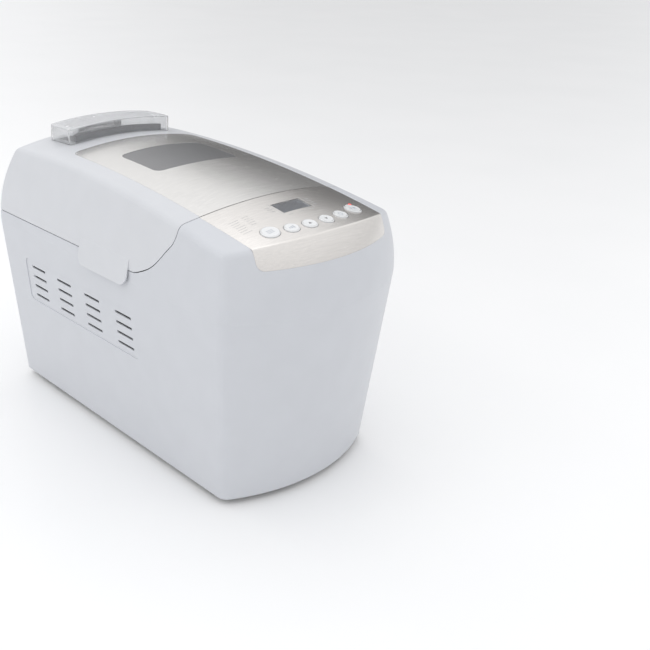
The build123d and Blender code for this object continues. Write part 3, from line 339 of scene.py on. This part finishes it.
def add_prism(bm, low, high):
    """A closed prism between two rings of points that match one to one."""
    a = [bm.verts.new(p) for p in low]
    b = [bm.verts.new(p) for p in high]
    n = len(a)
    bm.faces.new(a[::-1])
    bm.faces.new(b)
    for i in range(n):
        bm.faces.new((a[i], a[(i + 1) % n], b[(i + 1) % n], b[i]))


def add_print(bm, node, outline, sink=0.05, rise=0.05):
    """Ink on a curved surface: each outline corner is dropped on the node, in millimetres."""
    low, high = [], []
    for x, y in outline:
        point, normal = surface(node, x * MM, y * MM)
        low.append(point - normal * sink * MM)
        high.append(point + normal * rise * MM)
    add_prism(bm, low, high)


def bar(cx, cy, long, wide, turn=0.0):
    c, s = math.cos(turn), math.sin(turn)
    corners = [(-1, -1), (1, -1), (1, 1), (-1, 1)]
    corners = [(u * long / 2, v * wide / 2) for u, v in corners]
    return [(cx + u * c - v * s, cy + u * s + v * c) for u, v in corners]


def add_ring(bm, centre, normal, profile, steps=64):
    """A closed ring turned about a normal; profile is (radius, height) pairs in millimetres."""
    turn = normal.to_track_quat("Z", "Y").to_matrix()
    rows = []
    for k in range(steps):
        a = 2 * math.pi * k / steps
        rows.append([
            bm.verts.new(centre + turn @ Vector((r * math.cos(a), r * math.sin(a), h)) * MM)
            for r, h in profile
        ])
    n = len(profile)
    for k in range(steps):
        row, after = rows[k], rows[(k + 1) % steps]
        for i in range(n):
            bm.faces.new((row[i], row[(i + 1) % n], after[(i + 1) % n], after[i]))


# ---- keys ----------------------------------------------------------------------------------

KEYS = [(-56.4, -182.4, 19.0), (-34.4, -188.1, 15.5), (-13.1, -190.6, 15.5),
        (9.5, -190.6, 15.5), (32.5, -187.7, 15.5), (59.5, -179.6, 18.5)]


def key_marks(index, x, y):
    """Generic marks: a menu list, a loaf size, up, down, a crust ring and start/stop."""
    if index == 1:
        return [bar(x, y + d, 7.5, 0.5) for d in (-2.0, 0, 2.0)]
    if index == 2:
        return [bar(x - 2.4, y, 1.0, 2.0), bar(x, y, 1.0, 3.2), bar(x + 2.4, y, 1.0, 4.4)]
    if index == 3:
        return [[(x - 1.9, y - 1.4), (x + 1.9, y - 1.4), (x, y + 1.8)]]
    if index == 4:
        return [[(x - 1.9, y + 1.4), (x, y - 1.8), (x + 1.9, y + 1.4)]]
    if index == 5:
        return [bar(x + 2.2 * math.cos(a), y + 2.2 * math.sin(a), 1.3, 0.6, a + math.pi / 2)
                for a in (math.pi * k / 4 for k in range(8))]
    return [[(x - 3.4, y - 1.8), (x - 0.4, y), (x - 3.4, y + 1.8)], bar(x + 2.0, y, 2.8, 2.8)]


# How far in from the key's edge each corner of the ring is, and how high, in millimetres.
RING_PROFILE = ((1.35, -0.12), (1.25, 0.10), (1.0, 0.18), (0.75, 0.18), (0.55, 0.10), (0.50, -0.12))
ARROW_KEYS = (3, 4)

for number, (x, y, size) in enumerate(KEYS, 1):
    node = f"button_{number}"
    centre, normal = surface(node, x * MM, y * MM)
    bm = bmesh.new()
    add_ring(bm, centre, normal, [(size / 2 - inset, height) for inset, height in RING_PROFILE])
    finish_piece(f"key_ring_{number}", bm, "trim", f"key_{number}", True)
    bm = bmesh.new()
    for outline in key_marks(number, x, y):
        add_print(bm, node, outline)
    ink = "ink" if number in ARROW_KEYS else "mark_ink"
    finish_piece(f"key_mark_{number}", bm, ink, f"key_{number}")


# ---- printed bars and display --------------------------------------------------------------

LIST_ROWS, LIST_PITCH, LIST_TOP, LIST_SLANT = 7, 3.7, -147.0, 0.3
OUTER_COLUMN, INNER_COLUMN = -76.0, -60.0
INNER_LAST = -164.0            # the inner column stops here, clear of the first key
FINE = 0.4
SIDE_PITCH, SIDE_BARS = 4.2, ((-1, 3), (1, 4))
FOOT_BARS, FOOT_LEVEL = (-14.0, 0.0, 14.0), -166.5

bm = bmesh.new()
for row in range(LIST_ROWS):
    level = LIST_TOP - LIST_PITCH * row
    outer, inner = 11.0 - 1.3 * (row % 3), 8.5 - 1.1 * ((row + 1) % 3)
    for left, long in ((OUTER_COLUMN, outer), (INNER_COLUMN, inner)):
        if left == INNER_COLUMN and level < INNER_LAST:
            continue
        left -= LIST_SLANT * row
        add_print(bm, "control_fascia", bar(left + long / 2, level, long, FINE))
for side, count in SIDE_BARS:
    for row in range(count):
        add_print(bm, "control_fascia", bar(side * 26.5, -145.5 - SIDE_PITCH * row, 6.5, 0.6))
        add_print(bm, "control_fascia", bar(side * 26.0, -147.0 - SIDE_PITCH * row, 4.0, FINE))
for x in FOOT_BARS:
    add_print(bm, "control_fascia", bar(x, FOOT_LEVEL, 7.0, 0.55))
finish_piece("panel_printing", bm, "pale_ink", "body")

DISPLAY_Y, FRAME_LINE = -152.0, 0.5
FRAME_BARS = (
    (0, -140.6, 42.4, FRAME_LINE), (0, -163.4, 42.4, FRAME_LINE),
    (-21.0, DISPLAY_Y, FRAME_LINE, 22.3), (21.0, DISPLAY_Y, FRAME_LINE, 22.3),
)
bm = bmesh.new()
for cx, cy, long, wide in FRAME_BARS:
    add_print(bm, "control_fascia", bar(cx, cy, long, wide), rise=0.06)
finish_piece("display_outline", bm, "pale_ink", "body")

SEGMENTS = {
    "top": (0, 1, True), "middle": (0, 0, True), "bottom": (0, -1, True),
    "upper_left": (-1, 0.5, False), "upper_right": (1, 0.5, False),
    "lower_left": (-1, -0.5, False), "lower_right": (1, -0.5, False),
}
THREE = ("top", "middle", "bottom", "upper_right", "lower_right")
TWO = ("top", "middle", "bottom", "upper_right", "lower_left")
ZERO = ("top", "bottom", "upper_left", "upper_right", "lower_left", "lower_right")
DIGIT_HALF, DIGIT_RISE, DIGIT_Y = 1.9, 3.4, -152.5
LEVEL_BAR, UPRIGHT_BAR = (3.0, 0.7), (0.7, 2.8)


def digit(cx, cy, lit):
    shapes = []
    for name in lit:
        u, v, level = SEGMENTS[name]
        long, wide = LEVEL_BAR if level else UPRIGHT_BAR
        shapes.append(bar(cx + u * DIGIT_HALF, cy + v * DIGIT_RISE, long, wide))
    return shapes


bm = bmesh.new()
shapes = digit(-5.5, DIGIT_Y, THREE) + digit(3.2, DIGIT_Y, TWO) + digit(9.8, DIGIT_Y, ZERO)
shapes += [bar(-1.2, -151.0, 0.8, 0.8), bar(-1.2, -154.2, 0.8, 0.8)]
shapes += [bar(x, -145.6, 3.0, 0.8) for x in (-12.0, -6.0, 0.0, 6.0, 12.0)]
shapes += [bar(-13.2, y, 1.6, 1.6) for y in (-150.0, -155.0)]
for outline in shapes:
    add_print(bm, "lcd_module", outline, 0.03, 0.05)
finish_piece("display_digits", bm, "segment", "body")


# ---- clear cover with a ribbed top ---------------------------------------------------------

GROOVES, GROOVE_PITCH = 36, 3.5
GROOVE_FLAT, GROOVE_TOP, GROOVE_DEEP = 0.6, 1.1, 0.8      # half widths and depth
GROOVE_Y = (134.8, 135.3, 171.7, 172.2)
ON_TOP, WELD = 0.02, 0.0005
COVER_SKIN, COVER_CREASE = 2.3, math.radians(25)


def groove_depth(x, y):
    """Depth in millimetres of the grooved top at x, y, also in millimetres."""
    first = -GROOVE_PITCH * (GROOVES - 1) / 2
    index = min(max(round((x - first) / GROOVE_PITCH), 0), GROOVES - 1)
    away = abs(x - first - index * GROOVE_PITCH)
    across = min(max((GROOVE_TOP - away) / (GROOVE_TOP - GROOVE_FLAT), 0.0), 1.0)
    y0, y1, y2, y3 = GROOVE_Y
    along = min(max(min((y - y0) / (y1 - y0), (y3 - y) / (y3 - y2)), 0.0), 1.0)
    return GROOVE_DEEP * min(across, along)


bm = bmesh.new()
bm.from_mesh(NODES["vent_cover"].data)
bmesh.ops.remove_doubles(bm, verts=bm.verts, dist=WELD * MM)
cuts = []
for k in range(GROOVES):
    for edge in (-GROOVE_TOP, -GROOVE_FLAT, GROOVE_FLAT, GROOVE_TOP):
        x = GROOVE_PITCH * (k - (GROOVES - 1) / 2) + edge
        cuts.append(((x * MM, 0, 0), (1, 0, 0)))
cuts += [((0, y * MM, 0), (0, 1, 0)) for y in GROOVE_Y]
for place, normal in cuts:
    everything = bm.verts[:] + bm.edges[:] + bm.faces[:]
    bmesh.ops.bisect_plane(bm, geom=everything, dist=WELD * MM, plane_co=place, plane_no=normal)
bmesh.ops.remove_doubles(bm, verts=bm.verts, dist=WELD * MM)
for vert in bm.verts:
    point = surface("vent_cover", vert.co.x, vert.co.y)[0]
    if point is not None and abs(vert.co.z - point.z) < ON_TOP * MM:
        vert.co.z -= groove_depth(vert.co.x / MM, vert.co.y / MM) * MM
cover = finish_piece("ribbed_cover", bm, "cover", "clear_cover", True)
cover.data.materials.append(MATS["cover_top"])
for face in cover.data.polygons:
    over = surface("vent_cover", face.center.x, face.center.y)[0]
    if over is not None and over.z - face.center.z < COVER_SKIN * MM and abs(face.normal.z) > 0.3:
        face.material_index = 1
cover.data.set_sharp_from_angle(angle=COVER_CREASE)
weighted = cover.modifiers.new("even_normals", "WEIGHTED_NORMAL")
weighted.keep_sharp = True
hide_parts("vent_cover")


# ---- painted shade: a dark strip in front of the well --------------------------------------

# This low dark wall inside the front of the clear cover is painted shade: it stands in for the shadow that
# falls there, not for a part.
SHADE_STRIP_HALF, SHADE_STRIP_Y, SHADE_STRIP_THICK, SHADE_STRIP_HIGH = 60.0, 137.0, 1.4, 7.5
SHADE_STRIP_STEPS, SHADE_STRIP_SINK = 40, -0.3
SHADE_STRIP_CORNERS = (
    (0, SHADE_STRIP_SINK), (SHADE_STRIP_THICK, SHADE_STRIP_SINK), (SHADE_STRIP_THICK, SHADE_STRIP_HIGH), (0, SHADE_STRIP_HIGH),
)
bm = bmesh.new()
stations = []
for k in range(SHADE_STRIP_STEPS + 1):
    x = -SHADE_STRIP_HALF + 2 * SHADE_STRIP_HALF * k / SHADE_STRIP_STEPS
    point = surface("lid_shell", x * MM, SHADE_STRIP_Y * MM)[0]
    stations.append([
        bm.verts.new(point + Vector((0, v, w)) * MM)
        for v, w in SHADE_STRIP_CORNERS
    ])
for a, b in zip(stations, stations[1:]):
    for i in range(4):
        bm.faces.new((a[i], a[(i + 1) % 4], b[(i + 1) % 4], b[i]))
bm.faces.new(stations[0][::-1])
bm.faces.new(stations[-1])
finish_piece("painted_shade_strip", bm, "well_dark_and_painted_shade", "lid")


# ---- floor, light and camera ---------------------------------------------------------------

floor_mat, tree, shader, vector = new_material("floor_pale")
FLOOR_DARK, FLOOR_LIGHT, FLOOR_GLOSS = (0.95, 0.952, 0.955), (0.97, 0.97, 0.972), 0.35
cloud = noise(tree, vector, 3.0, 2.0)
tint(tree, cloud, FLOOR_DARK, FLOOR_LIGHT, shader.inputs["Base Color"])
shader.inputs["Roughness"].default_value = FLOOR_GLOSS
bm = bmesh.new()
FLOOR_RADIUS, FLOOR_SIDES = 40.0, 64
bm.faces.new([
    bm.verts.new((FLOOR_RADIUS * math.cos(a), FLOOR_RADIUS * math.sin(a), 0.0))
    for a in (2 * math.pi * k / FLOOR_SIDES for k in range(FLOOR_SIDES))
])
mesh = bpy.data.meshes.new("floor")
bm.to_mesh(mesh)
bm.free()
floor = bpy.data.objects.new("floor", mesh)
bpy.context.scene.collection.objects.link(floor)
floor.data.materials.append(floor_mat)

# The studio is pale all round and brightest overhead. One soft dark card low at the back right
# gives the steel its fall from bright to grey.
SKY = [(0.0, 0.74), (0.45, 0.98), (1.0, 1.12)]
CARD_AIM = (0.780, 0.610, 0.140)
CARD_EDGE, CARD_CORE, CARD_LEVEL = 0.90, 0.985, 0.18

world = bpy.data.worlds.new("studio")
bpy.context.scene.world = world
world.use_nodes = True
sky = world.node_tree
direction = sky.nodes.new("ShaderNodeTexCoord").outputs["Generated"]
split = sky.nodes.new("ShaderNodeSeparateXYZ")
sky.links.new(direction, split.inputs["Vector"])
ramp = sky.nodes.new("ShaderNodeValToRGB")
for stop, (height, level) in enumerate(SKY):
    element = ramp.color_ramp.elements[stop] if stop < 2 else ramp.color_ramp.elements.new(height)
    element.position = height
    element.color = (level * 0.985, level * 0.99, level, 1)
sky.links.new(split.outputs["Z"], ramp.inputs["Fac"])
sky.links.new(ramp.outputs["Color"], sky.nodes["Background"].inputs["Color"])
card = sky.nodes.new("ShaderNodeVectorMath")
card.operation = "DOT_PRODUCT"
card.inputs[1].default_value = CARD_AIM
sky.links.new(direction, card.inputs[0])
strength = sky.nodes["Background"].inputs["Strength"]
spread(sky, card.outputs["Value"], 1.0, CARD_LEVEL, strength, CARD_EDGE, CARD_CORE)


def soft_light(name, place, aim, size, power, colour=(1, 1, 1)):
    data = bpy.data.lights.new(name, "AREA")
    data.shape = "RECTANGLE"
    data.size, data.size_y = size
    data.energy = power
    data.color = colour
    lamp = bpy.data.objects.new(name, data)
    lamp.location = place
    lamp.rotation_euler = (Vector(aim) - Vector(place)).to_track_quat("-Z", "Y").to_euler()
    bpy.context.scene.collection.objects.link(lamp)


soft_light("key_light", (-1.7, 0.5, 1.5), (0, 0, 0.2), (1.5, 1.1), 3.5, (1, 0.995, 0.98))
soft_light("top_light", (0.1, 0.6, 2.2), (0, 0, 0.3), (1.8, 1.2), 3.0)

CAMERA_PLACE = Vector((-0.5965, -0.7403, 0.5402))
BACKWARD = Vector((-0.6342, -0.6643, 0.3955)).normalized()
ROLL = math.radians(1.79)
camera_data = bpy.data.cameras.new("photo_camera")
camera_data.lens = 49.44
camera_data.sensor_width = 36.0
camera_data.shift_x = 0.097
camera_data.shift_y = -0.025
camera_data.clip_start = 0.02
camera = bpy.data.objects.new("photo_camera", camera_data)
level = BACKWARD.to_track_quat("Z", "Y").to_matrix()
turned = (level @ Matrix.Rotation(ROLL, 3, "Z")).to_4x4()
camera.matrix_world = Matrix.Translation(CAMERA_PLACE) @ turned
bpy.context.scene.collection.objects.link(camera)
bpy.context.scene.camera = camera
bpy.context.scene.view_settings.view_transform = "Standard"
